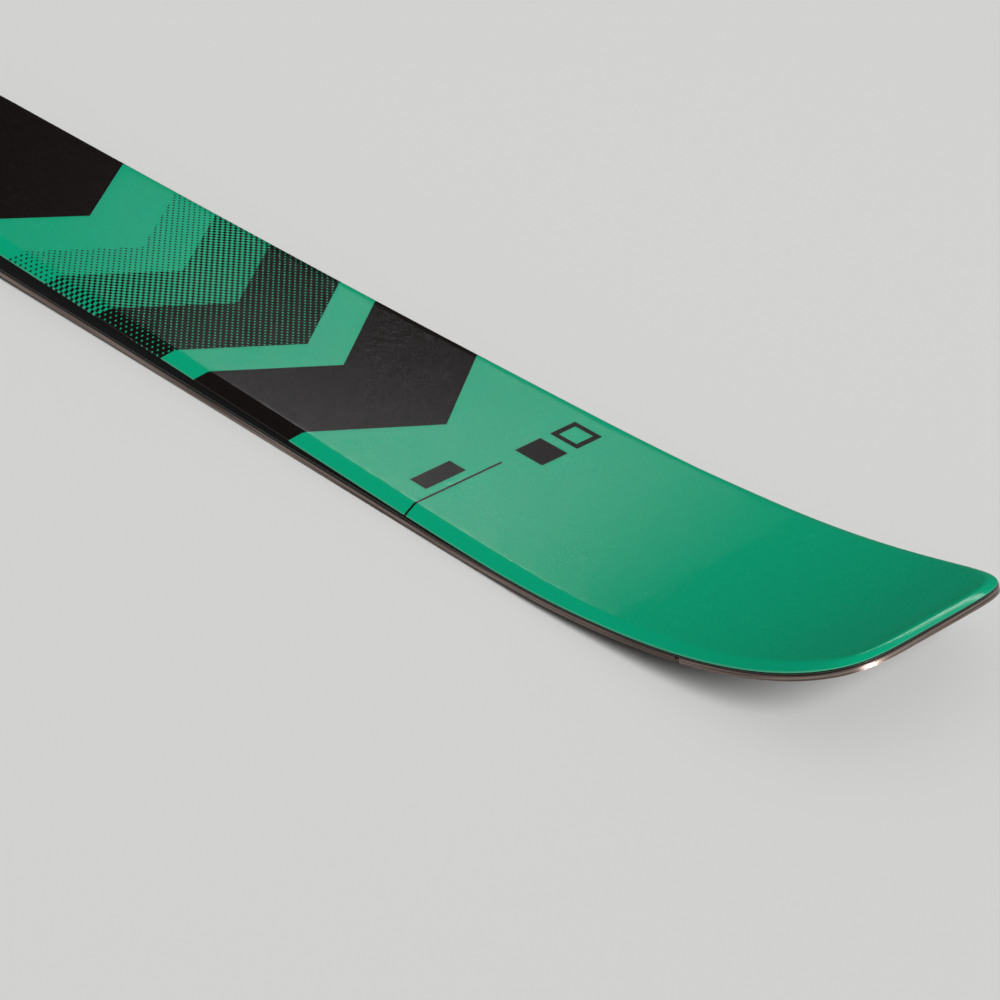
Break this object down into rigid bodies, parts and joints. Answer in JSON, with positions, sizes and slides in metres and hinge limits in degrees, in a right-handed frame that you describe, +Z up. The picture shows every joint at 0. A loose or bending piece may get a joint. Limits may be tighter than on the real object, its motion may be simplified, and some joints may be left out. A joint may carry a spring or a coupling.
{
  "type": "freestyle ski",
  "caption": "Symmetrical twin-tip freestyle ski, a pressed sandwich of base, steel edges, wood core, laminates, sidewalls and topsheet, flat without a binding.",
  "frame": {"origin": "middle of the ski, at the height of its contact lines on a flat floor", "axes": "+X along the ski to the tip end, +Y across it, +Z up from base to topsheet"},
  "size_m": [1.68, 0.113, 0.0358],
  "materials": {
    "base": "ground sheet, satin with fine lengthwise grind",
    "edge": "ground steel",
    "fleece": "thin glass fleece in resin",
    "foil": "thin damping rubber",
    "laminate": "woven glass in dark resin",
    "core_light": "planed poplar",
    "core_dark": "planed ash",
    "sidewall": "milled and polished black plastic",
    "spacer": "black filler plastic",
    "carbon": "carbon fibre tape in resin",
    "pad": "dense rubber sheet",
    "topsheet": "satin green film with a fine woven grain, glossier on the shoulder"
  },
  "bodies": {
    "root": {"base": "base", "edge_left": "edge", "edge_right": "edge", "edge_tip": "edge", "edge_tail": "edge", "fleece_ply": "fleece", "rubber_foil_left": "foil", "rubber_foil_right": "foil", "lower_laminate": "laminate", "core_strip_1": "core_light", "core_strip_2": "core_dark", "core_strip_3": "core_light", "core_strip_4": "core_dark", "core_strip_5": "core_light", "core_strip_6": "core_dark", "core_strip_7": "core_light", "core_strip_8": "core_dark", "core_strip_9": "core_light", "sidewall_left": "sidewall", "sidewall_right": "sidewall", "tip_spacer": "spacer", "tail_spacer": "spacer", "carbon_stringer_left": "carbon", "carbon_stringer_right": "carbon", "stomp_pad": "pad", "binding_plate": "carbon", "upper_laminate": "laminate", "topsheet": "topsheet"}
  },
  "joints": []
}
